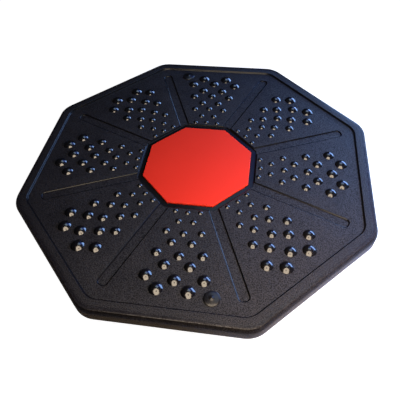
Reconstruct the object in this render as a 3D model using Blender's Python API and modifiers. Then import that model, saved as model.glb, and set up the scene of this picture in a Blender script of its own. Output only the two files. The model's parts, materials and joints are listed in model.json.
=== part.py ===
"""Octagonal balance disc: a moulded plastic deck with massage knobs, standing on a central rocking dome.

Every size is in metres. The frame's origin is on the floor under the middle of the foot, +Z is up, and the
octagon's flats face the X and Y axes. The deck is a downward-open tray, closed from below by a screwed cover.
Four bolts, hidden under the red centre plate, clamp deck and cover onto the dome.
"""

import math

import bmesh
import bpy
from mathutils import Matrix

# Clearances
SEAT_GAP = 0.0003  # left between pieces that touch
OVERCUT = 0.002  # how far a cutter reaches past the face it opens

# Overall sizes
SIDES = 8
ACROSS_FLATS = 0.400
SIDE_HEIGHT = 0.0175  # the deck's skirt, from its lower edge to the rim
FLOOR_TO_SKIRT = 0.0525

# Deck shell
CORNER_RADIUS = 0.027
EDGE_ROUNDING = 0.0055
DECK_WALL = 0.0035  # under the recessed field
SKIRT_WALL = 0.0040
SKIRT_LIP = 0.0024  # thinner skirt beside the cover
RIM_BAND = 0.014  # flat border round the recessed field
FIELD_DEPTH = 0.0022
FIELD_CORNER_RADIUS = 0.020
SLOT_WIDTH = 0.0105
SLOT_DEPTH = 0.0012
SLOT_END_ROUNDING = 0.004
SLOT_TO_FIELD_CORNER = 0.0173

# Centre plate and the pocket that holds it
PLATE_ACROSS = 0.124
PLATE_THICKNESS = 0.0023
PLATE_EDGE_BEVEL = 0.0004
PLATE_CORNER_RADIUS = 0.0012
PLATE_CLEARANCE = 0.0004
PLATE_SEAT_DEPTH = 0.0006
POCKET_LEDGE = 0.0068
POCKET_DEPTH = 0.0024
POCKET_CORNER_RADIUS = 0.003
HUB_WALL = 0.0034  # under the plate seat

# Massage knobs: in each sector the rings hold three and two knobs in turn
KNOB_RINGS = 8
KNOB_SMALLEST = 0.0056
KNOB_LARGEST = 0.0146
KNOB_EDGE_SLOPE = math.radians(45)  # of the dome where it meets the field
KNOB_SPREAD = math.radians(10.73)  # from a sector's middle line to the outer knob of three
THREES_FROM_POCKET = 0.0058
THREES_FROM_RIM = 0.0292
PAIRS_FROM_POCKET = 0.0183
PAIRS_FROM_RIM = 0.0177
KNOB_ROOT = 0.1  # of its diameter, sunk into the deck's wall

# Ribs under the deck
RIB_WIDTH = 0.0022
RIB_RING_FROM_SKIRT = 0.046
BOSS_DIAMETER = 0.0095

# Base cover
COVER_THICKNESS = 0.0030
COVER_INSET = 0.0005  # above the skirt's lower edge
COVER_CLEARANCE = 0.0003
COVER_PAD_HEIGHT = 0.0020
COVER_PAD_DIAMETER = 0.014
CHANNEL_WIDTH = 0.008
CHANNEL_DEPTH = 0.0008
CHANNEL_END_ROUNDING = 0.0036
CHANNEL_TO_COLLAR = 0.008
CHANNEL_TO_SCREW = 0.011
COLLAR_WALL = 0.003
COLLAR_HEIGHT = 0.0025

# Cover screws
SCREW_SHANK = 0.0035
SCREW_TIP_GAP = 0.0005  # from the tip to the deck's underside
SCREW_HEAD_DIAMETER = 0.0072
SCREW_HEAD_HEIGHT = 0.0021
SCREW_WELL_DEPTH = 0.0025
SCREW_WELL_CLEARANCE = 0.0012
RIM_SCREW_FROM_CORNER = 0.0133
RING_SCREW_COUNT = 4
RING_SCREW_FROM_COLLAR = 0.022

# Hub bolts
BOLT_CIRCLE_RADIUS = 0.040
BOLT_COUNT = 4
BOLT_SHANK = 0.0058
BOLT_IN_DOME = 0.020
BOLT_HEAD_DIAMETER = 0.0105
BOLT_HEAD_HEIGHT = 0.0036
BOLT_HEAD_SUNK = 0.0006
BOLT_HEAD_CLEARANCE = 0.0006
BOLT_BOSS_DIAMETER = 0.017

# Dome foot and its pad
ROCKING_RADIUS = 0.085
DOME_WALL = 0.004
DOME_FLOOR = 0.0035  # over the pad
DOME_RIB_WIDTH = 0.003
DOME_RIB_BELOW_TOP = 0.006
DOME_BOSS_DIAMETER = 0.014
DOME_BOSS_SPARE = 0.003  # hole left past the bolt's end
PAD_RADIUS = 0.0235
PAD_BORDER = 0.0025  # flat left round the pad
PAD_RECESS = 0.0025
PAD_PROUD = 0.0015
PAD_EDGE_CHAMFER = 0.0008
PAD_GROOVE_WIDTH = 0.0014
PAD_GROOVE_DEPTH = 0.0010
PAD_GROOVE_RADII = (0.0105, 0.0165)

# Blanking plugs
PLUG_SECTOR = 2  # counted from the sector that faces +X; the other plug is opposite
PLUG_TURN = math.radians(12.8)  # from the sector's middle line
PLUG_FROM_RIM = 0.0144
PLUG_CAP_DIAMETER = 0.0164
PLUG_CAP_HEIGHT = 0.0026
PLUG_SHANK = 0.0090
PLUG_BARB = 0.0014
PLUG_BARB_LENGTH = 0.0030
PLUG_SPLIT_WIDTH = 0.0020

# Roundness of the solids
CORNER_STEPS = 3
ROUNDING_STEPS = 4
KNOB_SIDES = 8
KNOB_STEPS = 2
HOLE_SIDES = 8
SCREW_SIDES = 8
DOME_STEPS = 32
DOME_ARC_STEPS = 6

# Levels and widths that follow from the sizes above
HALF_TURN = math.pi / SIDES
SKIRT_BOTTOM = FLOOR_TO_SKIRT
RIM_TOP = SKIRT_BOTTOM + SIDE_HEIGHT
FIELD_TOP = RIM_TOP - FIELD_DEPTH
DECK_UNDERSIDE = FIELD_TOP - DECK_WALL
POCKET_FLOOR = FIELD_TOP - POCKET_DEPTH
PLATE_SEAT = POCKET_FLOOR - PLATE_SEAT_DEPTH
HUB_UNDERSIDE = PLATE_SEAT - HUB_WALL
COVER_BOTTOM = SKIRT_BOTTOM + COVER_INSET
COVER_TOP = COVER_BOTTOM + COVER_THICKNESS
RIB_FOOT = COVER_TOP + SEAT_GAP
SCREW_SEAT = COVER_BOTTOM + SCREW_WELL_DEPTH
DOME_TOP = COVER_BOTTOM - SEAT_GAP
BOLT_SEAT = PLATE_SEAT - BOLT_HEAD_HEIGHT - BOLT_HEAD_SUNK
BOLT_LENGTH = BOLT_SEAT - DOME_TOP + BOLT_IN_DOME
SCREW_LENGTH = DECK_UNDERSIDE - SCREW_SEAT - SCREW_TIP_GAP
DOME_CENTRE = PAD_PROUD + math.sqrt(ROCKING_RADIUS**2 - (PAD_RADIUS + PAD_BORDER) ** 2)
DOME_TOP_RADIUS = math.sqrt(ROCKING_RADIUS**2 - (DOME_CENTRE - DOME_TOP) ** 2)
COLLAR_INNER = DOME_TOP_RADIUS + SEAT_GAP
COLLAR_OUTER = COLLAR_INNER + COLLAR_WALL
FIELD_ACROSS = ACROSS_FLATS - 2 * RIM_BAND
POCKET_ACROSS = PLATE_ACROSS + 2 * POCKET_LEDGE
SEAT_ACROSS = PLATE_ACROSS + 2 * PLATE_CLEARANCE
LIP_ACROSS = ACROSS_FLATS - 2 * SKIRT_LIP
CAVITY_ACROSS = ACROSS_FLATS - 2 * SKIRT_WALL
COVER_ACROSS = LIP_ACROSS - 2 * COVER_CLEARANCE
FIELD_CORNER = FIELD_ACROSS / 2 / math.cos(HALF_TURN)
SLOT_REACH = FIELD_CORNER - SLOT_TO_FIELD_CORNER
RIM_SCREW_RADIUS = FIELD_CORNER - RIM_SCREW_FROM_CORNER
RING_SCREW_RADIUS = COLLAR_OUTER + RING_SCREW_FROM_COLLAR
PLUG_ANGLE = 2 * PLUG_SECTOR * HALF_TURN + PLUG_TURN
PLUG_RADIUS = (FIELD_ACROSS / 2 - PLUG_FROM_RIM) / math.cos(PLUG_TURN)


def new_collection(name, parent):
    collection = bpy.data.collections.new(name)
    parent.children.link(collection)
    return collection


def new_object(name, mesh, collection):
    made = bpy.data.objects.new(name, mesh)
    collection.objects.link(made)
    return made


def new_mesh(name, shape):
    mesh = bpy.data.meshes.new(name)
    shape.to_mesh(mesh)
    shape.free()
    return mesh


def polar(radius, angle):
    return radius * math.cos(angle), radius * math.sin(angle)


def octagon(across, corner_radius):
    """Outline of a regular octagon with rounded corners, its flats square to the X and Y axes."""
    centre = (across / 2 - corner_radius) / math.cos(HALF_TURN)
    points = []
    for corner in range(SIDES):
        middle = (2 * corner + 1) * HALF_TURN
        x, y = polar(centre, middle)
        for step in range(CORNER_STEPS + 1):
            dx, dy = polar(corner_radius, middle + HALF_TURN * (2 * step / CORNER_STEPS - 1))
            points.append((x + dx, y + dy))
    return points


def sharp_octagon(across):
    return [polar(across / 2 / math.cos(HALF_TURN), (2 * corner + 1) * HALF_TURN) for corner in range(SIDES)]


def bar(inner, outer, width, angle, end_rounding=0.0):
    """Outline of a bar that runs outwards from the middle, with its outer end's corners rounded if asked."""
    half = width / 2
    end_rounding = min(end_rounding, half * 0.98)
    points = [(inner, half), (inner, -half)]
    if end_rounding:
        for side in (-1, 1):
            for step in range(CORNER_STEPS + 1):
                quarter = math.pi / 2 * step / CORNER_STEPS
                turn = quarter - math.pi / 2 if side < 0 else quarter
                dx, dy = polar(end_rounding, turn)
                points.append((outer - end_rounding + dx, side * (half - end_rounding) + dy))
    else:
        points += [(outer, -half), (outer, half)]
    cosine, sine = polar(1, angle)
    return [(x * cosine - y * sine, x * sine + y * cosine) for x, y in points]


def evaluated_mesh(source):
    bpy.context.view_layer.update()
    return bpy.data.meshes.new_from_object(source.evaluated_get(bpy.context.evaluated_depsgraph_get()))


def flat_solid(name, outlines, bottom, top, collection):
    """A closed mesh of one height: a filled 2D curve, extruded, then made a mesh with its caps welded."""
    curve = bpy.data.curves.new(name, "CURVE")
    curve.dimensions = "2D"
    curve.fill_mode = "BOTH"
    curve.extrude = (top - bottom) / 2
    for outline in outlines:
        spline = curve.splines.new("POLY")
        spline.points.add(len(outline) - 1)
        spline.use_cyclic_u = True
        for point, (x, y) in zip(spline.points, outline):
            point.co = (x, y, 0, 1)
    guide = new_object(name + "_outline", curve, collection)
    guide.location.z = (top + bottom) / 2
    mesh = evaluated_mesh(guide)
    mesh.name = name
    place = guide.matrix_world.copy()
    bpy.data.objects.remove(guide)
    bpy.data.curves.remove(curve)
    shape = bmesh.new()
    shape.from_mesh(mesh)
    bmesh.ops.remove_doubles(shape, verts=shape.verts, dist=1e-6)
    bmesh.ops.recalc_face_normals(shape, faces=shape.faces)
    shape.to_mesh(mesh)
    shape.free()
    made = new_object(name, mesh, collection)
    made.matrix_world = place
    return made


def turned_solid(name, profile, steps, collection):
    """A profile of (radius, height) turned about Z by a Screw; it runs down the outer side, top to bottom."""
    shape = bmesh.new()
    verts = [shape.verts.new((radius, 0, height)) for radius, height in profile]
    for start, end in zip(verts, verts[1:]):
        shape.edges.new((start, end))
    made = new_object(name, new_mesh(name, shape), collection)
    screw = made.modifiers.new("Turn", "SCREW")
    screw.axis = "Z"
    screw.steps = steps
    screw.render_steps = steps
    screw.use_merge_vertices = True
    screw.merge_threshold = 1e-5
    screw.use_smooth_shade = True
    return made


def round_bars(name, places, diameter, bottom, top, collection, sides=HOLE_SIDES):
    """Upright cylinders in one mesh, one at each place: bosses, pads or the cutters of holes."""
    shape = bmesh.new()
    for x, y in places:
        bmesh.ops.create_cone(
            shape,
            cap_ends=True,
            segments=sides,
            radius1=diameter / 2,
            radius2=diameter / 2,
            depth=top - bottom,
            matrix=Matrix.Translation((x, y, (top + bottom) / 2)),
        )
    return new_object(name, new_mesh(name, shape), collection)


def combine(target, collection, operation):
    """A Boolean of the target with every solid of a collection, which is kept out of the render."""
    for tool in collection.objects:
        tool.hide_render = True
        tool.display_type = "WIRE"
    boolean = target.modifiers.new(collection.name, "BOOLEAN")
    boolean.operation = operation
    boolean.solver = "EXACT"
    boolean.operand_type = "COLLECTION"
    boolean.collection = collection


def round_top(target, height, width, segments):
    """Rounds the edges of a flat solid's upper outline, whose local height is given."""
    mesh = target.data
    shape = bmesh.new()
    shape.from_mesh(mesh)
    bmesh.ops.dissolve_limit(shape, angle_limit=0.001, verts=shape.verts, edges=shape.edges)
    shape.to_mesh(mesh)
    shape.free()
    weights = mesh.attributes.new("bevel_weight_edge", "FLOAT", "EDGE")
    for edge in mesh.edges:
        if all(abs(mesh.vertices[index].co.z - height) < 1e-6 for index in edge.vertices):
            weights.data[edge.index].value = 1
    bevel = target.modifiers.new("Rounding", "BEVEL")
    bevel.limit_method = "WEIGHT"
    bevel.width = width
    bevel.segments = segments


def material(name, colour, roughness, metallic=0.0):
    made = bpy.data.materials.new(name)
    made.use_nodes = True
    shader = made.node_tree.nodes["Principled BSDF"]
    shader.inputs["Base Color"].default_value = (*colour, 1)
    shader.inputs["Roughness"].default_value = roughness
    shader.inputs["Metallic"].default_value = metallic
    made.diffuse_color = (*colour, 1)
    return made


def rim_screw_places():
    return [polar(RIM_SCREW_RADIUS, (2 * corner + 1) * HALF_TURN) for corner in range(SIDES)]


def ring_screw_places():
    turns = [2 * math.pi * screw / RING_SCREW_COUNT for screw in range(RING_SCREW_COUNT)]
    return [polar(RING_SCREW_RADIUS, turn) for turn in turns]


def bolt_places():
    return [polar(BOLT_CIRCLE_RADIUS, math.pi * (2 * bolt + 1) / BOLT_COUNT) for bolt in range(BOLT_COUNT)]


def plug_places():
    return [polar(PLUG_RADIUS, PLUG_ANGLE + half * math.pi) for half in range(2)]


def knob_ring_radius(ring):
    """Rings of three and rings of two alternate, each kind evenly spaced between pocket and rim."""
    if ring % 2 == 0:
        first = POCKET_ACROSS / 2 + THREES_FROM_POCKET
        last = FIELD_ACROSS / 2 - THREES_FROM_RIM
    else:
        first = POCKET_ACROSS / 2 + PAIRS_FROM_POCKET
        last = FIELD_ACROSS / 2 - PAIRS_FROM_RIM
    return first + (last - first) * (ring // 2) / (KNOB_RINGS // 2 - 1)


def knob_places():
    """Every knob as (x, y, diameter), sector by sector and ring by ring."""
    places = []
    for sector in range(SIDES):
        for ring in range(KNOB_RINGS):
            diameter = KNOB_SMALLEST + (KNOB_LARGEST - KNOB_SMALLEST) * ring / (KNOB_RINGS - 1)
            turns = (-1, 0, 1) if ring % 2 == 0 else (-0.5, 0.5)
            for turn in turns:
                x, y = polar(knob_ring_radius(ring), 2 * sector * HALF_TURN + turn * KNOB_SPREAD)
                places.append((x, y, diameter))
    return places


def knob_field(collection):
    """All the knobs in one mesh: copies of one turned spherical cap, each on a root that sinks into the deck."""
    ball = 0.5 / math.sin(KNOB_EDGE_SLOPE)  # radius of the sphere of a knob of unit diameter
    profile = []
    for step in range(KNOB_STEPS + 1):
        slope = KNOB_EDGE_SLOPE * step / KNOB_STEPS
        profile.append((ball * math.sin(slope), ball * (math.cos(slope) - math.cos(KNOB_EDGE_SLOPE))))
    profile += [(0.5, -KNOB_ROOT), (0, -KNOB_ROOT)]
    pattern = turned_solid("knob_pattern", profile, KNOB_SIDES, collection)
    knob = evaluated_mesh(pattern)
    bpy.data.objects.remove(pattern)
    shape = bmesh.new()
    for x, y, diameter in knob_places():
        copy = knob.copy()
        turn = Matrix.Rotation(math.atan2(y, x), 4, "Z")
        copy.transform(Matrix.Translation((x, y, FIELD_TOP)) @ turn @ Matrix.Scale(diameter, 4))
        shape.from_mesh(copy)
        bpy.data.meshes.remove(copy)
    return new_object("knobs", new_mesh("knobs", shape), collection)


def deck_cavity(collection, ribs):
    """The tray's inside, less the hub, ribs and bosses that stand in it. The deck's cuts trim their feet."""
    outline = octagon(CAVITY_ACROSS, CORNER_RADIUS - SKIRT_WALL)
    cavity = flat_solid("deck_cavity", [outline], SKIRT_BOTTOM - OVERCUT, DECK_UNDERSIDE, collection)
    below = SKIRT_BOTTOM - 2 * OVERCUT
    above = DECK_UNDERSIDE + OVERCUT
    hub = POCKET_ACROSS + 2 * HUB_WALL
    hub_inside = hub - 2 * RIB_WIDTH
    ring = CAVITY_ACROSS - 2 * RIB_RING_FROM_SKIRT
    ring_inside = ring - 2 * RIB_WIDTH
    flat_solid("hub", [sharp_octagon(hub)], HUB_UNDERSIDE, above, ribs)
    flat_solid("hub_ring", [sharp_octagon(hub), sharp_octagon(hub_inside)], below, above, ribs)
    flat_solid("outer_ring", [sharp_octagon(ring), sharp_octagon(ring_inside)], below, above, ribs)
    spokes = []
    webs = []
    for side in range(SIDES):
        spokes.append(bar(hub_inside / 2, CAVITY_ACROSS / 2 + OVERCUT, RIB_WIDTH, 2 * side * HALF_TURN))
        corner = (2 * side + 1) * HALF_TURN
        webs.append(bar(RIM_SCREW_RADIUS, CAVITY_ACROSS / 2 / math.cos(HALF_TURN), RIB_WIDTH, corner))
    flat_solid("spokes", spokes, below, above, ribs)
    flat_solid("corner_webs", webs, below, above, ribs)
    screws = rim_screw_places() + ring_screw_places()
    round_bars("screw_bosses", screws, BOSS_DIAMETER, below, above, ribs)
    round_bars("bolt_bosses", bolt_places(), BOLT_BOSS_DIAMETER, below, above, ribs)
    combine(cavity, ribs, "DIFFERENCE")
    return cavity


def make_deck(parts, tools):
    """Top shell: rim, recessed field, radial slots, plate pocket and 160 knobs, ribbed underneath."""
    deck = flat_solid("deck_shell", [octagon(ACROSS_FLATS, CORNER_RADIUS)], SKIRT_BOTTOM, RIM_TOP, parts)
    round_top(deck, SIDE_HEIGHT / 2, EDGE_ROUNDING, ROUNDING_STEPS)

    hollow = new_collection("deck_hollow", tools)
    deck_cavity(hollow, new_collection("deck_ribs", tools))
    combine(deck, hollow, "DIFFERENCE")

    cuts = new_collection("deck_cuts", tools)
    lip = octagon(LIP_ACROSS, CORNER_RADIUS - SKIRT_LIP)
    flat_solid("lip_cut", [lip], SKIRT_BOTTOM - OVERCUT, RIB_FOOT, cuts)
    field = octagon(FIELD_ACROSS, FIELD_CORNER_RADIUS)
    flat_solid("field_cut", [field], FIELD_TOP, RIM_TOP + OVERCUT, cuts)
    slots = []
    for corner in range(SIDES):
        angle = (2 * corner + 1) * HALF_TURN
        slots.append(bar(PLATE_ACROSS / 2, SLOT_REACH, SLOT_WIDTH, angle, SLOT_END_ROUNDING))
    flat_solid("slot_cuts", slots, FIELD_TOP - SLOT_DEPTH, FIELD_TOP + OVERCUT, cuts)
    pocket = octagon(POCKET_ACROSS, POCKET_CORNER_RADIUS)
    flat_solid("pocket_cut", [pocket], POCKET_FLOOR, FIELD_TOP + OVERCUT, cuts)
    seat = octagon(SEAT_ACROSS, PLATE_CORNER_RADIUS + PLATE_CLEARANCE)
    flat_solid("seat_cut", [seat], PLATE_SEAT, POCKET_FLOOR + OVERCUT, cuts)
    screws = rim_screw_places() + ring_screw_places()
    pad = COVER_PAD_DIAMETER + 2 * SEAT_GAP
    round_bars("pad_cuts", screws, pad, SKIRT_BOTTOM, RIB_FOOT + COVER_PAD_HEIGHT, cuts)
    hole = SCREW_SHANK + 2 * SEAT_GAP
    round_bars("pilot_cuts", screws, hole, RIB_FOOT, SCREW_SEAT + SCREW_LENGTH + SEAT_GAP, cuts, SCREW_SIDES)
    head = BOLT_HEAD_DIAMETER + 2 * BOLT_HEAD_CLEARANCE
    round_bars("bolt_head_cuts", bolt_places(), head, BOLT_SEAT, PLATE_SEAT + OVERCUT, cuts)
    shank = BOLT_SHANK + 2 * SEAT_GAP
    round_bars("bolt_cuts", bolt_places(), shank, RIB_FOOT - OVERCUT, BOLT_SEAT + OVERCUT, cuts)
    plug = PLUG_SHANK + 2 * SEAT_GAP
    round_bars("plug_cuts", plug_places(), plug, DECK_UNDERSIDE - OVERCUT, FIELD_TOP + OVERCUT, cuts, SCREW_SIDES)
    combine(deck, cuts, "DIFFERENCE")

    knobs = new_collection("deck_knobs", tools)
    knob_field(knobs)
    combine(deck, knobs, "UNION")
    return deck


def make_cover(parts, tools):
    """Bottom closing plate: screw wells with pads behind them, stiffening channels and the dome's collar."""
    outline = octagon(COVER_ACROSS, CORNER_RADIUS - SKIRT_LIP - COVER_CLEARANCE)
    cover = flat_solid("base_cover", [outline], COVER_BOTTOM, COVER_TOP, parts)
    screws = rim_screw_places() + ring_screw_places()

    adds = new_collection("cover_adds", tools)
    inside = COVER_TOP - COVER_THICKNESS / 2
    round_bars("screw_pads", screws, COVER_PAD_DIAMETER, inside, COVER_TOP + COVER_PAD_HEIGHT, adds)
    turns = [2 * math.pi * step / DOME_STEPS for step in range(DOME_STEPS)]
    collar = [[polar(radius, turn) for turn in turns] for radius in (COLLAR_OUTER, COLLAR_INNER)]
    flat_solid("collar", collar, COVER_BOTTOM - COLLAR_HEIGHT, inside, adds)
    combine(cover, adds, "UNION")

    cuts = new_collection("cover_cuts", tools)
    well = SCREW_HEAD_DIAMETER + 2 * SCREW_WELL_CLEARANCE
    round_bars("well_cuts", screws, well, COVER_BOTTOM - OVERCUT, SCREW_SEAT, cuts)
    hole = SCREW_SHANK + 2 * SEAT_GAP
    round_bars("screw_cuts", screws, hole, COVER_BOTTOM, COVER_TOP + COVER_PAD_HEIGHT + OVERCUT, cuts, SCREW_SIDES)
    shank = BOLT_SHANK + 2 * SEAT_GAP
    round_bars("cover_bolt_cuts", bolt_places(), shank, COVER_BOTTOM - OVERCUT, COVER_TOP + OVERCUT, cuts)
    start = COLLAR_OUTER + CHANNEL_TO_COLLAR
    end = RIM_SCREW_RADIUS - CHANNEL_TO_SCREW
    channels = []
    for corner in range(SIDES):
        angle = (2 * corner + 1) * HALF_TURN
        channels.append(bar(start, end, CHANNEL_WIDTH, angle, CHANNEL_END_ROUNDING))
    flat_solid("channel_cuts", channels, COVER_BOTTOM - OVERCUT / 2, COVER_BOTTOM + CHANNEL_DEPTH, cuts)
    combine(cover, cuts, "DIFFERENCE")
    return cover


def make_plate(parts):
    """Red octagonal plate that hides the hub bolts."""
    bottom = PLATE_SEAT + SEAT_GAP
    outline = octagon(PLATE_ACROSS, PLATE_CORNER_RADIUS)
    plate = flat_solid("centre_plate", [outline], bottom, bottom + PLATE_THICKNESS, parts)
    round_top(plate, PLATE_THICKNESS / 2, PLATE_EDGE_BEVEL, 1)
    return plate


def sphere_arc(radius, low, high, steps):
    """Points of the dome's circle from a high level down to a low one, as (radius, height)."""
    start = math.acos((DOME_CENTRE - high) / radius)
    end = math.acos((DOME_CENTRE - low) / radius)
    turns = [start + (end - start) * step / steps for step in range(steps + 1)]
    return [(radius * math.sin(turn), DOME_CENTRE - radius * math.cos(turn)) for turn in turns]


def make_dome(parts, tools):
    """Rocking foot: a spherical shell, open at the top, with four bolt columns on crossed ribs."""
    outer = sphere_arc(ROCKING_RADIUS, PAD_PROUD, DOME_TOP, DOME_ARC_STEPS)
    pad_hole = PAD_RADIUS + SEAT_GAP
    recess = PAD_PROUD + PAD_RECESS
    profile = [(0, DOME_TOP), *outer, (pad_hole, PAD_PROUD), (pad_hole, recess), (0, recess)]
    dome = turned_solid("dome_foot", profile, DOME_STEPS, parts)

    hollow = new_collection("dome_hollow", tools)
    floor = recess + DOME_FLOOR
    over = DOME_TOP + OVERCUT
    inner = sphere_arc(ROCKING_RADIUS - DOME_WALL, floor, DOME_TOP, DOME_ARC_STEPS)
    mouth = inner[0][0]
    cavity = turned_solid("dome_cavity", [(0, over), (mouth, over), *inner, (0, floor)], DOME_STEPS, hollow)
    ribs = new_collection("dome_ribs", tools)
    round_bars("bolt_columns", bolt_places(), DOME_BOSS_DIAMETER, 0, over + OVERCUT, ribs)
    for turn in range(BOLT_COUNT // 2):
        angle = math.pi * (2 * turn + 1) / BOLT_COUNT
        outline = bar(-ROCKING_RADIUS, ROCKING_RADIUS, DOME_RIB_WIDTH, angle)
        flat_solid(f"cross_rib_{turn + 1}", [outline], 0, DOME_TOP - DOME_RIB_BELOW_TOP, ribs)
    combine(cavity, ribs, "DIFFERENCE")
    combine(dome, hollow, "DIFFERENCE")

    cuts = new_collection("dome_cuts", tools)
    end = BOLT_SEAT - BOLT_LENGTH - DOME_BOSS_SPARE
    shank = BOLT_SHANK + 2 * SEAT_GAP
    round_bars("dome_bolt_cuts", bolt_places(), shank, end, DOME_TOP + OVERCUT, cuts)
    combine(dome, cuts, "DIFFERENCE")
    return dome


def make_pad(parts, tools):
    """Rubber disc let into the dome's flat, with two anti-slip grooves in its face."""
    top = PAD_PROUD + PAD_RECESS - SEAT_GAP
    profile = [
        (0, top),
        (PAD_RADIUS, top),
        (PAD_RADIUS, PAD_EDGE_CHAMFER),
        (PAD_RADIUS - PAD_EDGE_CHAMFER, 0),
    ]
    for radius in reversed(PAD_GROOVE_RADII):
        profile += [
            (radius + PAD_GROOVE_WIDTH / 2, 0),
            (radius + PAD_GROOVE_WIDTH / 4, PAD_GROOVE_DEPTH),
            (radius - PAD_GROOVE_WIDTH / 4, PAD_GROOVE_DEPTH),
            (radius - PAD_GROOVE_WIDTH / 2, 0),
        ]
    profile.append((0, 0))
    return turned_solid("foot_pad", profile, DOME_STEPS // 2, parts)


def cover_screw_profile():
    """Pan-head screw that points up, its seat at height 0."""
    shank = SCREW_SHANK / 2
    head = SCREW_HEAD_DIAMETER / 2
    return [
        (0, SCREW_LENGTH),
        (shank, SCREW_LENGTH - 2 * shank),
        (shank, -SEAT_GAP),
        (head, -SEAT_GAP),
        (head, -SCREW_HEAD_HEIGHT * 0.6),
        (head * 0.7, -SCREW_HEAD_HEIGHT),
        (0, -SCREW_HEAD_HEIGHT),
    ]


def hub_bolt_profile():
    """Pan-head machine bolt that points down, its seat at height 0."""
    shank = BOLT_SHANK / 2
    head = BOLT_HEAD_DIAMETER / 2
    return [
        (0, BOLT_HEAD_HEIGHT),
        (head * 0.7, BOLT_HEAD_HEIGHT),
        (head, BOLT_HEAD_HEIGHT * 0.6),
        (head, SEAT_GAP),
        (shank, SEAT_GAP),
        (shank, shank * 0.5 - BOLT_LENGTH),
        (shank * 0.5, -BOLT_LENGTH),
        (0, -BOLT_LENGTH),
    ]


def make_copies(name, profile, places, height, parts):
    """One turned mesh, shared by an object at each place."""
    made = [turned_solid(f"{name}_1", profile, SCREW_SIDES, parts)]
    for number in range(2, len(places) + 1):
        twin = made[0].copy()
        twin.name = f"{name}_{number}"
        parts.objects.link(twin)
        made.append(twin)
    for piece, (x, y) in zip(made, places):
        piece.location = (x, y, height)
    return made


def make_plugs(parts, tools):
    """Push-in plugs with domed caps and split, barbed shanks, one on each side of the board."""
    half = PLUG_CAP_DIAMETER / 2
    ball = (half**2 + PLUG_CAP_HEIGHT**2) / (2 * PLUG_CAP_HEIGHT)
    slope = math.asin(half / ball)
    cap = []
    for step in range(4):
        turn = slope * step / 3
        cap.append((ball * math.sin(turn), ball * (math.cos(turn) - math.cos(slope)) + SEAT_GAP))
    shank = PLUG_SHANK / 2
    under = -DECK_WALL - SEAT_GAP
    profile = [
        *cap,
        (shank, SEAT_GAP),
        (shank, under),
        (shank + PLUG_BARB / 2, under),
        (shank * 0.7, under - PLUG_BARB_LENGTH),
        (0, under - PLUG_BARB_LENGTH),
    ]
    plugs = make_copies("blanking_plug", profile, plug_places(), FIELD_TOP, parts)
    reach = PLUG_SHANK / 2 + PLUG_BARB
    low = FIELD_TOP + under - PLUG_BARB_LENGTH - OVERCUT
    for number, (plug, (x, y)) in enumerate(zip(plugs, plug_places()), 1):
        cuts = new_collection(f"plug_cuts_{number}", tools)
        outline = [(x + dx, y + dy) for dx, dy in bar(-reach, reach, PLUG_SPLIT_WIDTH, PLUG_ANGLE)]
        flat_solid(f"split_{number}", [outline], low, FIELD_TOP - DECK_WALL / 2, cuts)
        combine(plug, cuts, "DIFFERENCE")
    return plugs


def paint(pieces, finish):
    for piece in pieces:
        if not piece.data.materials:
            piece.data.materials.append(finish)


def main():
    for old in list(bpy.data.objects):
        bpy.data.objects.remove(old, do_unlink=True)
    scene = bpy.context.scene.collection
    parts = new_collection("balance_disc", scene)
    tools = new_collection("cutters", scene)

    black_plastic = material("textured_black_plastic", (0.013, 0.013, 0.015), 0.42)
    red_plastic = material("red_plate_plastic", (0.74, 0.03, 0.018), 0.35)
    dome_plastic = material("smooth_black_plastic", (0.016, 0.016, 0.018), 0.35)
    rubber = material("grey_black_rubber", (0.03, 0.03, 0.03), 0.85)
    steel = material("zinc_plated_steel", (0.55, 0.55, 0.56), 0.35, 1.0)

    paint([make_deck(parts, tools), make_cover(parts, tools)], black_plastic)
    paint([make_plate(parts)], red_plastic)
    paint([make_dome(parts, tools), *make_plugs(parts, tools)], dome_plastic)
    paint([make_pad(parts, tools)], rubber)
    screws = cover_screw_profile()
    paint(make_copies("rim_screw", screws, rim_screw_places(), SCREW_SEAT, parts), steel)
    paint(make_copies("ring_screw", screws, ring_screw_places(), SCREW_SEAT, parts), steel)
    paint(make_copies("hub_bolt", hub_bolt_profile(), bolt_places(), BOLT_SEAT, parts), steel)


main()
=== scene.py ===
"""Balance disc: an octagonal wobble board with a knobbed black deck, a red centre plate and a rocking foot.

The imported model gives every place. Each piece that can be seen is drawn here in finer detail, in metres, in
the model's own frame: the floor is at height 0, +Z is up, and the octagon's flats face the X and Y axes.
"""

import json
import math

import bmesh
import bpy
import numpy as np
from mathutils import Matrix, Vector
from mathutils.geometry import delaunay_2d_cdt

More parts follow.
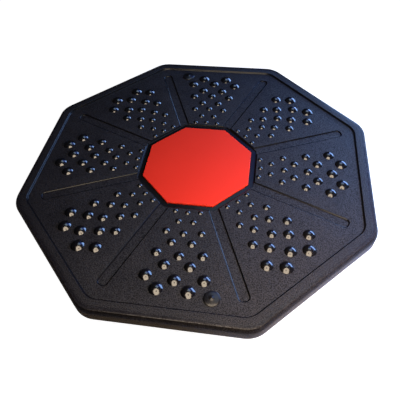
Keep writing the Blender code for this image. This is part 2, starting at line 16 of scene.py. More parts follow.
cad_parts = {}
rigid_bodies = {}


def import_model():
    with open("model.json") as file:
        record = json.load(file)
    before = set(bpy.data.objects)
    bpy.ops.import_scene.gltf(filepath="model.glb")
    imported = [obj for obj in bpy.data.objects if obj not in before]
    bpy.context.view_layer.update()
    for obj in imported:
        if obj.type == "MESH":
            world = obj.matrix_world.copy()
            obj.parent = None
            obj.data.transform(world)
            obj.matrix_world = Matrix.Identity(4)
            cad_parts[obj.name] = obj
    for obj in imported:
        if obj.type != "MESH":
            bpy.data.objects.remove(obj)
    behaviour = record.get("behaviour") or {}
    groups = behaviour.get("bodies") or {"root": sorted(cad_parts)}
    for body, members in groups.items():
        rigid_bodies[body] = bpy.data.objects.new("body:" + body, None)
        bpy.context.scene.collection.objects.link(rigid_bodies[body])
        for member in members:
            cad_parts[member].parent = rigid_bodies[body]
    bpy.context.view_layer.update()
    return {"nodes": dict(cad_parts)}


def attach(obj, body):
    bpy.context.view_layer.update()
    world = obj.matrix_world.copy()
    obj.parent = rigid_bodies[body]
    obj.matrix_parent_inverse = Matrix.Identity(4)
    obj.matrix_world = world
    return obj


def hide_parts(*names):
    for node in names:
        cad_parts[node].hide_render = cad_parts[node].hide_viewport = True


for leftover in list(bpy.data.objects):
    bpy.data.objects.remove(leftover)
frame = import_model()


# Camera. The photograph was taken by hand from half a metre away, over the board's front edge and looking
# steeply down, with a lens like a 38 mm one and a slight roll.
camera_lens = bpy.data.cameras.new("camera")
camera_lens.sensor_fit = "HORIZONTAL"
camera_lens.sensor_width = 36
camera_lens.lens = 37.63
camera = bpy.data.objects.new("camera", camera_lens)
camera.location = (0.06841, -0.34184, 0.43008)
camera.rotation_euler = [math.radians(angle) for angle in (38.796, 2.412, 8.373)]
bpy.context.scene.collection.objects.link(camera)
bpy.context.scene.camera = camera


# Studio. A plain white floor that glows for the camera alone. Three small lamps light the board without
# showing in its black plastic. The others show there and give no other light: a blue window low on the
# right, its sky, a pale ceiling, and a warm ring round the camera.
AIM = Vector((0.0, 0.0, 0.07))


def add_node(tree, kind, settings, inputs):
    """Adds a node; an input is named by its label or number and takes a value or another node's output."""
    node = tree.nodes.new(kind)
    for name, value in settings.items():
        setattr(node, name, value)
    for name, value in inputs.items():
        if isinstance(value, bpy.types.NodeSocket):
            tree.links.new(value, node.inputs[name])
        else:
            node.inputs[name].default_value = value
    return node


def toward(azimuth, elevation, distance):
    """The point at a distance from the board's middle, in a direction given in degrees."""
    turn = math.radians(azimuth)
    rise = math.radians(elevation)
    flat = distance * math.cos(rise)
    return AIM + Vector((flat * math.cos(turn), flat * math.sin(turn), distance * math.sin(rise)))


def soft_panel(name, place, size, power, colour, shows_as):
    """A rectangular lamp that faces the board. It shows either as light on surfaces or as a reflection."""
    light = bpy.data.lights.new(name, "AREA")
    light.shape = "RECTANGLE"
    light.size = size[0]
    light.size_y = size[1]
    light.energy = power
    light.color = colour
    panel = bpy.data.objects.new(name, light)
    panel.location = place
    panel.rotation_euler = (AIM - place).to_track_quat("-Z", "Y").to_euler()
    panel.visible_camera = False
    panel.visible_diffuse = shows_as == "light"
    panel.visible_glossy = shows_as == "reflection"
    bpy.context.scene.collection.objects.link(panel)


bpy.context.scene.view_settings.view_transform = "Standard"

floor_paint = bpy.data.materials.new("white_floor")
floor_paint.use_nodes = True
floor_shader = floor_paint.node_tree.nodes["Principled BSDF"]
floor_shader.inputs["Base Color"].default_value = (0.45, 0.45, 0.43, 1)
floor_shader.inputs["Roughness"].default_value = 0.9
floor_shader.inputs["Specular IOR Level"].default_value = 0.1
floor_shader.inputs["Emission Color"].default_value = (1, 1, 1, 1)
floor_ray = add_node(floor_paint.node_tree, "ShaderNodeLightPath", {}, {})
floor_glow = add_node(
    floor_paint.node_tree,
    "ShaderNodeMapRange",
    {},
    {"Value": floor_ray.outputs["Is Camera Ray"], "To Min": 0.0, "To Max": 1.0},
)
floor_paint.node_tree.links.new(floor_glow.outputs["Result"], floor_shader.inputs["Emission Strength"])
floor_sheet = bpy.data.meshes.new("floor")
floor_sheet.from_pydata([(-6, -6, 0), (6, -6, 0), (6, 6, 0), (-6, 6, 0)], [], [(0, 1, 2, 3)])
floor_sheet.materials.append(floor_paint)
floor = bpy.data.objects.new("floor", floor_sheet)
bpy.context.scene.collection.objects.link(floor)

surroundings = bpy.data.worlds.new("surroundings")
surroundings.use_nodes = True
bpy.context.scene.world = surroundings
air = surroundings.node_tree
air.nodes["Background"].inputs["Color"].default_value = (0.55, 0.62, 0.75, 1)
air.nodes["Background"].inputs["Strength"].default_value = 0.02
backdrop = add_node(air, "ShaderNodeBackground", {}, {"Color": (1, 1, 1, 1), "Strength": 1.0})
seen_directly = add_node(air, "ShaderNodeLightPath", {}, {})
mixed = add_node(
    air,
    "ShaderNodeMixShader",
    {},
    {
        0: seen_directly.outputs["Is Camera Ray"],
        1: air.nodes["Background"].outputs[0],
        2: backdrop.outputs[0],
    },
)
air.links.new(mixed.outputs[0], air.nodes["World Output"].inputs["Surface"])

soft_panel("warm_front", Vector((0.19, -0.16, 0.245)), (0.2, 0.2), 1.4, (1.0, 0.68, 0.42), "light")
soft_panel("blue_right", Vector((0.37, -0.02, 0.28)), (0.2, 0.2), 3.0, (0.18, 0.42, 1.0), "light")
soft_panel("fill_left", Vector((-0.45, -0.10, 0.40)), (0.2, 0.2), 0.2, (1.0, 0.8, 0.8), "light")
soft_panel("window_streak", toward(48, 19, 1.5), (1.25, 0.62), 22.0, (0.30, 0.51, 1.0), "reflection")
soft_panel("window_sky", toward(66, 44, 1.5), (1.00, 0.60), 2.5, (0.05, 0.15, 1.0), "reflection")
soft_panel("ceiling", toward(75, 64, 1.5), (0.80, 0.70), 3.6, (0.60, 0.82, 1.0), "reflection")

ring_light = bpy.data.lights.new("ring_round_camera", "AREA")
ring_light.shape = "DISK"
ring_light.size = 0.54
ring_light.energy = 4.4
ring_light.color = (1.0, 0.82, 0.62)
ring_light.use_nodes = True
glow = ring_light.node_tree
spot = add_node(glow, "ShaderNodeNewGeometry", {}, {})
from_middle = add_node(
    glow,
    "ShaderNodeVectorMath",
    {"operation": "DISTANCE"},
    {0: spot.outputs["Parametric"], 1: (0.5, 0.5, 0.0)},
)
past_hole = add_node(
    glow, "ShaderNodeMath", {"operation": "GREATER_THAN"}, {0: from_middle.outputs["Value"], 1: 0.10}
)
glow.links.new(past_hole.outputs[0], glow.nodes["Emission"].inputs["Strength"])
ring = bpy.data.objects.new("ring_round_camera", ring_light)
ring.location = camera.location
ring.rotation_euler = camera.rotation_euler
ring.visible_camera = False
ring.visible_diffuse = False
bpy.context.scene.collection.objects.link(ring)


# Deck shell. One moulding in black polypropylene: an upside-down octagonal tray with a stepped rim, a pocket
# for the plate, eight shallow slots from the pocket towards the corners, and 160 polished knobs. The mould's
# spark-eroded face leaves a fine pebble grain, worn smoother along the edge.
RIM_HEIGHT = 0.0700
FIELD_HEIGHT = 0.0678
SLOT_FLOOR = 0.0666
POCKET_FLOOR = 0.0654
SEAT_FLOOR = 0.0648
SKIRT_FOOT = 0.0525
POCKET_HALF = 0.0688
POCKET_CORNER = 0.003
SLOT_HALF = 0.00525
SLOT_END = 0.184
SLOT_END_CORNER = 0.004
SLOT_TAPER = 0.00045
EIGHTH = math.pi / 4


def octagon_rows(half_across, corner_radius, height, steps=8):
    """Octagons with rounded corners, one row of points for each value in the three lists.

    A corner's arc has its centre on the line from the middle through the corner, at (half across - radius) /
    cos 22.5 degrees, and turns 45 degrees from one flat's direction to the next.
    """
    half_across, corner_radius, height = (
        np.atleast_1d(np.asarray(value, float))[:, None] for value in (half_across, corner_radius, height)
    )
    corner = np.repeat(np.arange(8), steps + 1)
    turn = (corner + np.tile(np.linspace(0, 1, steps + 1), 8)) * EIGHTH
    middle = (corner + 0.5) * EIGHTH
    reach = (half_across - corner_radius) / math.cos(EIGHTH / 2)
    x = reach * np.cos(middle) + corner_radius * np.cos(turn)
    y = reach * np.sin(middle) + corner_radius * np.sin(turn)
    return np.stack([x, y, np.broadcast_to(height, x.shape)], axis=-1)


def turned_to_corners(local):
    """Repeats a path drawn outwards along X, (row, point, xy), at the octagon's eight corners, in turn."""
    turn = (np.arange(8) + 0.5) * EIGHTH
    x = local[..., None, :, 0] * np.cos(turn)[:, None] - local[..., None, :, 1] * np.sin(turn)[:, None]
    y = local[..., None, :, 0] * np.sin(turn)[:, None] + local[..., None, :, 1] * np.cos(turn)[:, None]
    return np.stack([x, y], axis=-1)


def mouth_radius(half_across, half_width):
    """Distance along the corner's line where a slot's side meets the pocket's flat."""
    return (half_across - half_width * math.sin(EIGHTH / 2)) / math.cos(EIGHTH / 2)


def slot_paths(shrink, height, steps=5):
    """The slots' outlines, (row, slot, point, xyz), each from one mouth corner round its end to the other.

    A row is the outline moved inwards by its shrink: both sides run straight out, and two quarter circles
    join them to the end.
    """
    shrink = np.asarray(shrink, float)[:, None]
    half = SLOT_HALF - shrink
    radius = SLOT_END_CORNER - shrink
    mouth = mouth_radius(POCKET_HALF - shrink, half)
    quarter = np.linspace(0, math.pi / 2, steps)
    along = SLOT_END - shrink - radius
    across = half - radius
    first = np.stack([along + radius * np.sin(quarter), -across - radius * np.cos(quarter)], axis=-1)
    second = np.stack([along + radius * np.cos(quarter), across + radius * np.sin(quarter)], axis=-1)
    start = np.stack([mouth, -half], axis=-1)
    end = np.stack([mouth, half], axis=-1)
    flat = turned_to_corners(np.concatenate([start, first, second, end], axis=1))
    level = np.broadcast_to(np.asarray(height, float)[:, None, None, None], flat.shape[:-1] + (1,))
    return np.concatenate([flat, level], axis=-1)


def pocket_paths(shrink, height, steps=5):
    """The pocket's outline between each slot's two mouth corners, in the same form: a small round corner."""
    shrink = np.asarray(shrink, float)[:, None]
    radius = POCKET_CORNER - shrink
    half_across = POCKET_HALF - shrink
    centre = (half_across - radius) / math.cos(EIGHTH / 2)
    turn = np.linspace(-EIGHTH / 2, EIGHTH / 2, steps)
    arc = np.stack([centre + radius * np.cos(turn), radius * np.sin(turn)], axis=-1)
    half = SLOT_HALF - shrink
    mouth = mouth_radius(half_across, half)
    start = np.stack([mouth, -half], axis=-1)
    end = np.stack([mouth, half], axis=-1)
    flat = turned_to_corners(np.concatenate([start, arc, end], axis=1))
    level = np.broadcast_to(np.asarray(height, float)[:, None, None, None], flat.shape[:-1] + (1,))
    return np.concatenate([flat, level], axis=-1)


def closed_rows(paths):
    """Joins the eight stretches of each row into one closed row."""
    return paths.reshape(paths.shape[0], -1, 3)


def round_rows(radius, height, sides, centres=((0.0, 0.0),)):
    """A profile of radius and height turned once round each upright axis, as (axis, row, point, xyz)."""
    turn = np.arange(sides) * 2 * math.pi / sides
    radius = np.asarray(radius, float)[:, None]
    height = np.asarray(height, float)[:, None]
    flat = np.stack([radius * np.cos(turn), radius * np.sin(turn)], axis=-1)
    moved = flat + np.asarray(centres, float)[:, None, None, :]
    level = np.broadcast_to(height[..., None], moved.shape[:-1] + (1,))
    return np.concatenate([moved, level], axis=-1)


def band(rows, finish=0, worn=0.0):
    """Faces between closed rows of points, for one grid (row, point, xyz) or several of them at once.

    Rows that run outwards face up, and rows that run down face away from the middle. Worn is one value for
    each row, or for all.
    """
    grids = rows.reshape((-1,) + rows.shape[-3:])
    copies, count, across = grids.shape[:3]
    copy, row, point = np.meshgrid(np.arange(copies), np.arange(count - 1), np.arange(across), indexing="ij")
    first = (copy * count + row) * across + point
    second = (copy * count + row) * across + (point + 1) % across
    faces = np.stack([first, first + across, second + across, second], axis=-1).reshape(-1, 4)
    wear = np.broadcast_to(np.broadcast_to(worn, (count,))[None, :, None], grids.shape[:3])
    return grids.reshape(-1, 3), faces.tolist(), finish, wear.ravel()


def lid(ring, up):
    """One flat face that fills a ring, or each of several rings, in the piece's first finish."""
    rings = ring.reshape((-1,) + ring.shape[-2:])
    faces = np.arange(rings.shape[0] * rings.shape[1]).reshape(rings.shape[:2])
    faces = faces if up else faces[:, ::-1]
    return rings.reshape(-1, 3), faces.tolist(), 0, np.zeros(len(rings) * rings.shape[1])


def pierced_sheet(outline, holes, up, finish=0):
    """The flat sheet between an outline and the rings cut out of it, as triangles with corners on them."""
    loops = [outline, *holes]
    points = np.concatenate(loops)
    ends = np.cumsum([len(loop) for loop in loops]).tolist()
    borders = [list(range(end - len(loop), end)) for end, loop in zip(ends, loops)]
    places = [Vector(point[:2]) for point in points]
    inside_less_holes = 2
    corners, _, triangles = delaunay_2d_cdt(places, [], borders, inside_less_holes, 1e-7)[:3]
    flat = np.array([corner[:] for corner in corners])
    level = np.full((len(flat), 1), outline[0, 2])
    faces = [list(face) if up else list(face)[::-1] for face in triangles]
    return np.concatenate([flat, level], axis=1), faces, finish, np.zeros(len(flat))


def welded_piece(name, surfaces, finishes):
    """Joins surfaces into one closed mesh: shared borders are welded, edges over 30 degrees stay sharp.

    A surface is its points, its faces, the number of its finish in the list, and its points' wear.
    """
    starts = np.cumsum([0] + [len(surface[0]) for surface in surfaces]).tolist()
    faces = [
        [start + index for index in face] for start, surface in zip(starts, surfaces) for face in surface[1]
    ]
    mesh = bpy.data.meshes.new(name)
    mesh.from_pydata(np.concatenate([surface[0] for surface in surfaces]).tolist(), [], faces)
    slots = np.concatenate([np.full(len(surface[1]), surface[2]) for surface in surfaces]).astype(np.int32)
    mesh.polygons.foreach_set("material_index", slots)
    wear = mesh.attributes.new("wear", "FLOAT", "POINT")
    wear.data.foreach_set("value", np.concatenate([surface[3] for surface in surfaces]).astype(np.float32))
    shape = bmesh.new()
    shape.from_mesh(mesh)
    bmesh.ops.remove_doubles(shape, verts=shape.verts, dist=1e-6)
    shape.to_mesh(mesh)
    shape.free()
    mesh.shade_smooth()
    mesh.set_sharp_from_angle(angle=math.radians(30))
    for finish in finishes:
        mesh.materials.append(finish)
    piece = bpy.data.objects.new(name, mesh)
    bpy.context.scene.collection.objects.link(piece)
    return piece


def new_finish(name):
    """A new material, with its node tree, its shader and the piece's own coordinates."""
    made = bpy.data.materials.new(name)
    made.use_nodes = True
    tree = made.node_tree
    place = add_node(tree, "ShaderNodeTexCoord", {}, {}).outputs["Object"]
    return made, tree, tree.nodes["Principled BSDF"], place


def noise(tree, place, scale, detail, roughness=0.5):
    """Soft random values from 0 to 1, in lumps as many to the metre as the scale says."""
    inputs = {"Vector": place, "Scale": scale, "Detail": detail, "Roughness": roughness}
    return add_node(tree, "ShaderNodeTexNoise", {}, inputs).outputs["Fac"]


def multiply_add(tree, value, factor, extra, clamp=False):
    """A value times a factor, plus something extra."""
    settings = {"operation": "MULTIPLY_ADD", "use_clamp": clamp}
    return add_node(tree, "ShaderNodeMath", settings, {0: value, 1: factor, 2: extra}).outputs[0]


def ranged(tree, value, low, high, start=0.0, end=1.0):
    """Maps a value between start and end in a straight line onto low to high, and keeps it between them."""
    inputs = {"Value": value, "From Min": start, "From Max": end, "To Min": low, "To Max": high}
    return add_node(tree, "ShaderNodeMapRange", {}, inputs).outputs["Result"]


def tinted(tree, share, colour, dark, pale):
    """A colour that goes, by a share, from itself times one number to itself times another."""
    inputs = {
        0: share,
        6: (*[dark * value for value in colour], 1),
        7: (*[pale * value for value in colour], 1),
    }
    return add_node(tree, "ShaderNodeMix", {"data_type": "RGBA"}, inputs).outputs[2]


def give_grain(tree, shader, height, depth, strength):
    """Tilts the surface as a pattern of heights would, with a depth in metres."""
    inputs = {"Strength": strength, "Distance": depth, "Height": height}
    bump = add_node(tree, "ShaderNodeBump", {}, inputs)
    tree.links.new(bump.outputs["Normal"], shader.inputs["Normal"])


def moulded_plastic(name, colour, shine, roughness, grain, grain_depth, glint=0.0, cloud=0.05):
    """Moulded plastic: a pebble grain of cells a given size, with faint clouding of its gloss and colour.

    The grain's height is a smoothed cell pattern plus finer noise. The glint is how much more its peaks
    shine than its hollows; most of that again is painted into the colour as paler peaks, partly dust and
    partly a painted glint. Worn edges, from the piece's own attribute, have a shallower grain and are
    glossier and a little paler.
    """
    plastic, tree, shader, place = new_finish(name)
    cells = add_node(
        tree,
        "ShaderNodeTexVoronoi",
        {"feature": "SMOOTH_F1"},
        {"Vector": place, "Scale": 1 / grain, "Smoothness": 0.4},
    )
    fine = noise(tree, place, 1.3 / grain, 1.0, 0.6)
    height = multiply_add(tree, cells.outputs["Distance"], 0.8, fine)
    wear = add_node(tree, "ShaderNodeAttribute", {"attribute_name": "wear"}, {}).outputs["Fac"]
    give_grain(tree, shader, height, grain_depth, ranged(tree, wear, 1.0, 0.3))
    shader.inputs["Specular IOR Level"].default_value = shine
    if glint > 0:
        sparkle = ranged(tree, fine, shine * (1 - glint), shine * (1 + glint), 0.36, 0.64)
        tree.links.new(sparkle, shader.inputs["Specular IOR Level"])
    clouds = noise(tree, place, 35.0, 4.0, 0.65)
    dull = ranged(tree, clouds, roughness - cloud, roughness + cloud, 0.3, 0.7)
    tree.links.new(multiply_add(tree, wear, -0.20, dull), shader.inputs["Roughness"])
    shade = tinted(tree, multiply_add(tree, wear, 0.3, clouds, True), colour, 0.8, 1.3)
    # Paler grain peaks in the colour: partly dust, partly a painted glint standing in for facets that catch
    # the lamps.
    dust_and_painted_glint = ranged(tree, fine, 1 - 0.7 * glint, 1 + 0.7 * glint, 0.36, 0.64)
    grained = add_node(tree, "ShaderNodeVectorMath", {"operation": "SCALE"}, {0: shade, "Scale": dust_and_painted_glint})
    tree.links.new(grained.outputs[0], shader.inputs["Base Color"])
    return plastic


textured_black = moulded_plastic(
    "textured_black_plastic", (0.0150, 0.0143, 0.0152), 0.26, 0.46, 0.0013, 0.00018, glint=0.7
)
polished_black = moulded_plastic(
    "polished_black_plastic", (0.0050, 0.0050, 0.0058), 1.0, 0.16, 0.0016, 0.00001, cloud=0.02
)
# The pocket's and slots' smoother, darker finish; on the rim's step wall its darkness is a painted shade.
pocket_black_and_step_shade = moulded_plastic(
    "pocket_black_plastic", (0.0050, 0.0050, 0.0055), 0.24, 0.20, 0.0012, 0.00002, cloud=0.04
)

# The knobs: in each sector, rings of three and rings of two in turn, larger towards the rim. Each is a
# spherical cap that meets the field at 50 degrees.
KNOB_EDGE = math.radians(50)
knob_ring = np.repeat(np.arange(8), [3, 2] * 4)
knob_turn = np.tile([-1.0, 0.0, 1.0, -0.5, 0.5], 4) * math.radians(10.73)
knob_inner = np.where(knob_ring % 2 == 0, 0.0746, 0.0871)
knob_outer = np.where(knob_ring % 2 == 0, 0.1568, 0.1683)
knob_reach = knob_inner + (knob_outer - knob_inner) * (knob_ring // 2) / 3
knob_half = (0.0056 + 0.0090 * knob_ring / 7) / 2
knob_angle = (np.arange(8) * EIGHTH)[:, None] + knob_turn
knob_centres = np.stack([knob_reach * np.cos(knob_angle), knob_reach * np.sin(knob_angle)], axis=-1)
slope = np.linspace(0, KNOB_EDGE, 5)
cap = round_rows(np.sin(slope), np.cos(slope) - math.cos(KNOB_EDGE), 16)
ball = np.tile(knob_half / math.sin(KNOB_EDGE), 8)[:, None, None, None]
knobs = cap * ball
knobs[..., :2] += knob_centres.reshape(-1, 1, 1, 2)
knobs[..., 2] += FIELD_HEIGHT

# The pocket: the plate's seat, the ledge round it, and the wall up to the slots' floors.
seat_rows = octagon_rows(
    [0.0622, 0.0624, 0.0624, 0.0626, 0.06275],
    [0.0014, 0.0016, 0.0016, 0.0018, 0.00195],
    [SEAT_FLOOR, SEAT_FLOOR, POCKET_FLOOR - 0.0002, POCKET_FLOOR, POCKET_FLOOR],
)
pocket_rows = closed_rows(
    pocket_paths(
        [0.00130, 0.00110, 0.00080, 0.00065, SLOT_TAPER],
        [POCKET_FLOOR, POCKET_FLOOR, POCKET_FLOOR + 0.0001, POCKET_FLOOR + 0.00035, SLOT_FLOOR],
    )
)
slot_floor_rings = np.concatenate(
    [
        slot_paths([SLOT_TAPER], [SLOT_FLOOR])[0],
        pocket_paths([SLOT_TAPER], [SLOT_FLOOR])[0][:, -2:0:-1],
    ],
    axis=1,
)
slot_rows = closed_rows(
    slot_paths(
        [SLOT_TAPER, 0.00027, 0.00017, -0.00060, -0.00075, -0.00090, -0.00105],
        FIELD_HEIGHT - np.array([0.00120, 0.00066, 0.00057, 0.00011, 0.00004, 0.00001, 0]),
    )
)

# The rim: up from the field, over the flat band and its steep shoulder, and down the side to the skirt's
# foot; then the plain inside of the tray, which the cover closes. It is worn a little at the top of the
# step, and fully from the outer part of the band down to the skirt's foot. The step's wall has the pocket's
# smoother, darker finish; its darkness is a painted shade that marks the step as a dark line.
step_out = np.array([-0.65, -0.50, -0.20, 0.00, 0.25, 0.50, 0.70, 0.90, 1.15, 1.40, 1.60]) / 1000
step_up = np.array([0, 0, 0.07, 0.25, 0.80, 1.40, 1.80, 2.03, 2.16, 2.20, 2.20]) / 1000
roll_out = np.array([0, 3.0, 6.0, 8.0, 8.35, 8.62, 8.84, 9.05, 9.30, 9.75, 10.25, 10.68, 10.92, 11.0]) / 1000
roll_down = np.array([0, 0.03, 0.12, 0.24, 0.29, 0.40, 0.60, 0.88, 1.26, 2.00, 3.00, 4.10, 5.20, 6.2]) / 1000
side_half = np.array(
    [0.2000, 0.1999, 0.19965, 0.19915, 0.1988, 0.1979, 0.1977, 0.1976, 0.1976, 0.1960, 0.1960]
)
rim_half = np.concatenate([0.1860 + step_out, 0.1890 + roll_out, side_half, [0.0722, 0.0722]])
rim_height = np.concatenate(
    [
        FIELD_HEIGHT + step_up,
        RIM_HEIGHT - roll_down,
        SKIRT_FOOT + np.array([0.0011, 0.0006, 0.0002, 0, 0, 0, 0.0001, 0.0004]),
        [0.0563, 0.0563, 0.0643, 0.0643, 0.0614],
    ]
)
rim_corner = np.concatenate(
    [0.0200 + step_out, 0.0215 + 0.5 * roll_out, side_half - 0.1730, [0.0010, 0.0010]]
)
rim_worn = np.zeros(len(rim_half))
rim_worn[7:10] = 0.3
rim_worn[13:26] = 1.0
rim_rows = octagon_rows(rim_half, rim_corner, rim_height)

deck = welded_piece(
    "deck_shell_visual",
    [
        lid(seat_rows[0], True),
        band(seat_rows, 2),
        pierced_sheet(pocket_rows[0], [seat_rows[-1]], True, 2),
        band(pocket_rows, 2),
        lid(slot_floor_rings, True),
        band(slot_rows, 2),
        pierced_sheet(rim_rows[0], [slot_rows[-1], *knobs[:, -1]], True),
        band(knobs, 1),
        band(rim_rows[:2]),
        # Painted shade: the step's wall takes the pocket's darker finish so the step shows as a dark line.
        band(rim_rows[1:9], 2, rim_worn[1:9]),
        band(rim_rows[8:], 0, rim_worn[8:]),
        lid(rim_rows[-1], False),
    ],
    [textured_black, polished_black, pocket_black_and_step_shade],
)
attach(deck, "root")
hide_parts("deck_shell")


# Centre plate. A flat octagon in red plastic with a fine satin face and a small rounded edge, pressed into
# its seat over the hub bolts.
def red_satin(name, colour, roughness):
    """Red plastic sheet: almost smooth, with a very fine ripple, and slightly uneven in colour and gloss."""
    plastic, tree, shader, place = new_finish(name)
    shader.inputs["Specular IOR Level"].default_value = 0.25
    give_grain(tree, shader, noise(tree, place, 900.0, 2.0), 0.00003, 0.6)
    clouds = noise(tree, place, 22.0, 3.0)
    tree.links.new(ranged(tree, clouds, roughness - 0.05, roughness + 0.05), shader.inputs["Roughness"])
    tree.links.new(tinted(tree, clouds, colour, 0.95, 1.05), shader.inputs["Base Color"])
    return plastic


plate_red = red_satin("red_plate_plastic", (0.78, 0.029, 0.008), 0.45)
plate_edge = np.linspace(0, math.pi / 2, 5)
plate_rows = octagon_rows(
    np.concatenate([[0.0612], 0.0615 + 0.0005 * np.sin(plate_edge), [0.0620]]),
    np.concatenate([[0.0004], 0.0007 + 0.0005 * np.sin(plate_edge), [0.0012]]),
    np.concatenate([[0.0674], 0.0669 + 0.0005 * np.cos(plate_edge), [0.0651]]),
)
plate = welded_piece(
    "centre_plate_visual",
    [lid(plate_rows[0], True), band(plate_rows), lid(plate_rows[-1], False)],
    [plate_red],
)
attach(plate, "root")
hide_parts("centre_plate")


# Blanking plugs. Two push-in buttons of a softer black plastic, flatter and duller than the knobs and with a
# low pip in the middle, in holes beside the pattern on opposite sides of the board.
smooth_black = moulded_plastic(
    "smooth_black_plastic", (0.0070, 0.0070, 0.0080), 0.45, 0.30, 0.0012, 0.00002, cloud=0.06
)
plug_turn = math.radians(12.8)
plug_reach = 0.1716 / math.cos(plug_turn)
plug_share = np.concatenate([np.linspace(0, 0.32, 9), np.sin(np.linspace(0.42, math.pi / 2, 10))])
plug_radius = np.concatenate([0.0082 * plug_share, [0.0080, 0.0045, 0.0045]])
pip = 0.0009 * np.exp(-((plug_share / 0.22) ** 2))
plug_height = np.concatenate(
    [0.0005 + 0.0014 * np.sqrt(np.clip(1 - plug_share**2, 0, 1)) + pip, [0.0003, 0.0003, -0.0038]]
)
for number in (1, 2):
    plug_angle = 2 * EIGHTH + plug_turn + (number - 1) * math.pi
    plug_centre = [(plug_reach * math.cos(plug_angle), plug_reach * math.sin(plug_angle))]
    plug_rows = round_rows(plug_radius, FIELD_HEIGHT + plug_height, 32, plug_centre)
    plug = welded_piece(
        f"blanking_plug_{number}_visual",
        [band(plug_rows), lid(plug_rows[:, -1], False)],
        [smooth_black],
    )
    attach(plug, "root")
    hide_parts(f"blanking_plug_{number}")


# Base cover. A flat black moulding let into the skirt, with a chamfered well for each screw, a stiffening
# channel towards each corner and a collar round the dome.
COVER_FACE = 0.0530
CHANNEL_START = 0.0945
CHANNEL_END = 0.1734
WELL_RADIUS = 0.0048
SCREW_SEAT = 0.0555
screw_angles = np.concatenate([(np.arange(8) + 0.5) * EIGHTH, np.arange(4) * 2 * EIGHTH])
screw_reach = np.concatenate([np.full(8, 0.18803), np.full(4, 0.10491)])
screw_places = np.stack([screw_reach * np.cos(screw_angles), screw_reach * np.sin(screw_angles)], axis=-1)


def channel_rings(shrink, height, steps=6):
    """The channels' outlines, (channel, row, point, xyz): bars with quarter circles for corners.

    A row is the outline moved inwards by its shrink.
    """
    shrink = np.asarray(shrink, float)[:, None]
    radius = 0.0036 - shrink
    quarter = np.linspace(0, math.pi / 2, steps)
    corner_x = np.array([[CHANNEL_END, CHANNEL_END, CHANNEL_START, CHANNEL_START]])
    corner_y = np.array([[-0.0004, 0.0004, 0.0004, -0.0004]])
    turn = quarter[None, :] + (np.array([-1, 0, 1, 2]) * math.pi / 2)[:, None]
    x = corner_x[:, :, None] + radius[:, :, None] * np.cos(turn)[None]
    y = corner_y[:, :, None] + radius[:, :, None] * np.sin(turn)[None]
    local = np.stack([x.reshape(len(shrink), -1), y.reshape(len(shrink), -1)], axis=-1)
    flat = turned_to_corners(local)
    level = np.broadcast_to(np.asarray(height, float)[:, None, None, None], flat.shape[:-1] + (1,))
    return np.swapaxes(np.concatenate([flat, level], axis=-1), 0, 1)


cover_rows = octagon_rows(
    [0.1973, 0.1973, 0.19718, 0.1969, 0.19675],
    [0.0243, 0.0243, 0.02418, 0.0239, 0.02375],
    [0.0560, COVER_FACE + 0.0004, COVER_FACE + 0.00012, COVER_FACE, COVER_FACE],
)
well_rows = round_rows(
    np.concatenate([WELL_RADIUS + np.array([0.0006, 0.00045, 0.0001, 0, 0]), [0.00205, 0.00205]]),
    [COVER_FACE, COVER_FACE, COVER_FACE + 0.0003, COVER_FACE + 0.0006, SCREW_SEAT, SCREW_SEAT, 0.0559],
    32,
    screw_places,
)
channel_rows = channel_rings(
    [-0.0004, -0.00025, -0.00005, 0.00005, 0.0001, 0.0003, 0.0005],
    COVER_FACE + np.array([0, 0, 0.0001, 0.0003, 0.0006, 0.0008, 0.0008]),
)
collar_rows = round_rows(
    [0.0835, 0.0833, 0.0830, 0.0829, 0.0829, 0.0828, 0.0825, 0.0804, 0.0801, 0.0800, 0.0800],
    [0.0530, 0.0530, 0.0529, 0.0526, 0.0508, 0.0506, 0.0505, 0.0505, 0.0506, 0.0508, 0.0530],
    96,
)[0]
cover_black = moulded_plastic("cover_black_plastic", (0.014, 0.014, 0.0155), 0.4, 0.48, 0.0012, 0.00012)
cover = welded_piece(
    "base_cover_visual",
    [
        lid(cover_rows[0], True),
        band(cover_rows),
        pierced_sheet(cover_rows[-1], [*well_rows[:, 0], *channel_rows[:, 0], collar_rows[0]], False),
        band(well_rows),
        lid(well_rows[:, -1], False),
        band(channel_rows),
        lid(channel_rows[:, -1], False),
        band(collar_rows),
        lid(collar_rows[-1], False),
    ],
    [cover_black],
)
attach(cover, "root")
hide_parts("base_cover")


# Cover screws. Twelve zinc-plated pan-head screws with a cross recess, driven up through the cover: one near
# each corner and four round the dome.
HEAD_HALF = 0.0036
SHANK_HALF = 0.00175


def zinc_plate(name, colour, roughness):
    """Bright zinc on steel: a fine crystal grain, with small stains in its gloss and colour."""
    metal, tree, shader, place = new_finish(name)
    shader.inputs["Metallic"].default_value = 1.0
    give_grain(tree, shader, noise(tree, place, 2500.0, 3.0), 0.00002, 0.5)
    stain = noise(tree, place, 600.0, 4.0)
    tree.links.new(ranged(tree, stain, roughness - 0.12, roughness + 0.12), shader.inputs["Roughness"])
    tree.links.new(tinted(tree, stain, colour, 0.75, 1.2), shader.inputs["Base Color"])
    return metal


def recess_arm(along, across):
    """Share of the full depth in one arm: it falls with the cube of the way along, and its sides slope."""
    wall = np.clip((0.00052 - np.abs(across)) / 0.00016, 0, 1)
    return wall * np.clip(1 - (np.abs(along) / 0.0020) ** 3, 0, 1)


def cross_recess(x, y):
    """Depth of the recess at a point of the head: the deeper of two arms at right angles to each other."""
    return 0.0013 * np.maximum(recess_arm(x, y), recess_arm(y, x))


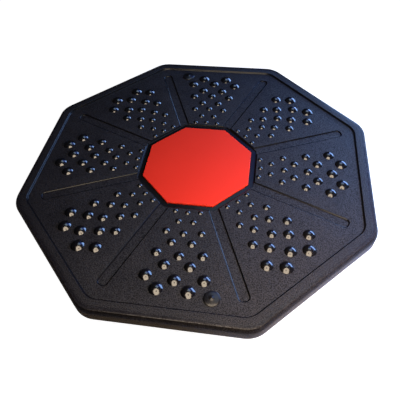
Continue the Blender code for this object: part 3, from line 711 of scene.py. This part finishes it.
zinc = zinc_plate("zinc_plated_steel", (0.60, 0.60, 0.62), 0.34)
head_radius = np.concatenate([np.linspace(0, 0.0026, 18), [0.0030, 0.0033, 0.0035], np.full(3, HEAD_HALF)])
head_crown = np.sqrt(np.clip(1 - (head_radius / HEAD_HALF) ** 2.6, 0, 1))
head_height = 0.0010 + 0.0011 * head_crown
head_height[-2:] = [0.0007, 0.0003]
head = round_rows(head_radius, head_height, 64)[0]
rows_in_crown = 19
crown = head[:rows_in_crown]
crown[..., 2] -= cross_recess(crown[..., 0], crown[..., 1])
shank = round_rows([HEAD_HALF, SHANK_HALF, SHANK_HALF, 0.0001], [0.0003, 0.0003, -0.0065, -0.0082], 64)[0]
pattern = np.concatenate([head, shank[1:]]) * [1, -1, -1]
screw_names = [f"rim_screw_{number}" for number in range(1, 9)]
screw_names += [f"ring_screw_{number}" for number in range(1, 5)]
for name, screw_place in zip(screw_names, screw_places):
    rows = pattern + [*screw_place, SCREW_SEAT]
    screw = welded_piece(f"{name}_visual", [band(rows), lid(rows[-1], False)], [zinc])
    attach(screw, "root")
    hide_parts(name)


# Dome foot. A hollow spherical dish in smooth black plastic that the board rocks on, rubbed glossier towards
# its flat, which holds the pad.
DOME_RADIUS = 0.085
DOME_TOP = 0.0527
FLAT_HALF = 0.026
FLAT_HEIGHT = 0.0015
DOME_MIDDLE = FLAT_HEIGHT + math.sqrt(DOME_RADIUS**2 - FLAT_HALF**2)
arc_start = math.acos((DOME_MIDDLE - DOME_TOP) / DOME_RADIUS)
arc_end = math.asin(0.0262 / DOME_RADIUS)
arc = np.linspace(arc_start, arc_end, 40)
dome_rows = round_rows(
    np.concatenate([DOME_RADIUS * np.sin(arc), [FLAT_HALF, 0.0257, 0.0241, 0.0238, 0.0238]]),
    np.concatenate([DOME_MIDDLE - DOME_RADIUS * np.cos(arc), [0.00152, 0.0015, 0.0015, 0.0017, 0.0040]]),
    96,
)[0]
dome_worn = np.zeros(len(dome_rows))
dome_worn[26:40] = np.linspace(0, 1, 14)
dome = welded_piece(
    "dome_foot_visual",
    [lid(dome_rows[0], True), band(dome_rows, 0, dome_worn), lid(dome_rows[-1], False)],
    [smooth_black],
)
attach(dome, "root")
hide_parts("dome_foot")


# Foot pad. A grey-black rubber disc pressed into the dome's flat, with two grooves that keep it from
# slipping.
def rubber(name, colour):
    """Dull moulded rubber: a sandy grain, with paler scuffs in broken patches."""
    made, tree, shader, place = new_finish(name)
    shader.inputs["Specular IOR Level"].default_value = 0.35
    give_grain(tree, shader, noise(tree, place, 2200.0, 3.0), 0.00008, 0.8)
    scuff = noise(tree, place, 150.0, 5.0)
    tree.links.new(ranged(tree, scuff, 0.70, 0.92), shader.inputs["Roughness"])
    tree.links.new(tinted(tree, scuff, colour, 0.6, 1.5), shader.inputs["Base Color"])
    return made


pad_rubber = rubber("grey_black_rubber", (0.030, 0.030, 0.031))
groove = np.linspace(1, -1, 9)
groove_radius = [middle + 0.0008 * groove for middle in (0.0165, 0.0105)]
groove_height = 0.0005 * (1 + np.cos(groove * math.pi))
pad_rows = round_rows(
    np.concatenate([[0.0235, 0.0235, 0.0233, 0.0228, 0.0226], *groove_radius, [0.0050]]),
    np.concatenate([[0.0037, 0.0008, 0.0003, 0, 0], groove_height, groove_height, [0]]),
    96,
)[0]
pad = welded_piece(
    "foot_pad_visual",
    [lid(pad_rows[0], True), band(pad_rows), lid(pad_rows[-1], False)],
    [pad_rubber],
)
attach(pad, "root")
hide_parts("foot_pad")


# Hub bolts. Four zinc-plated bolts under the red plate that clamp deck and cover onto the dome. They keep
# the model's own shape.
for number in range(1, 5):
    frame["nodes"][f"hub_bolt_{number}"].material_slots[0].material = zinc
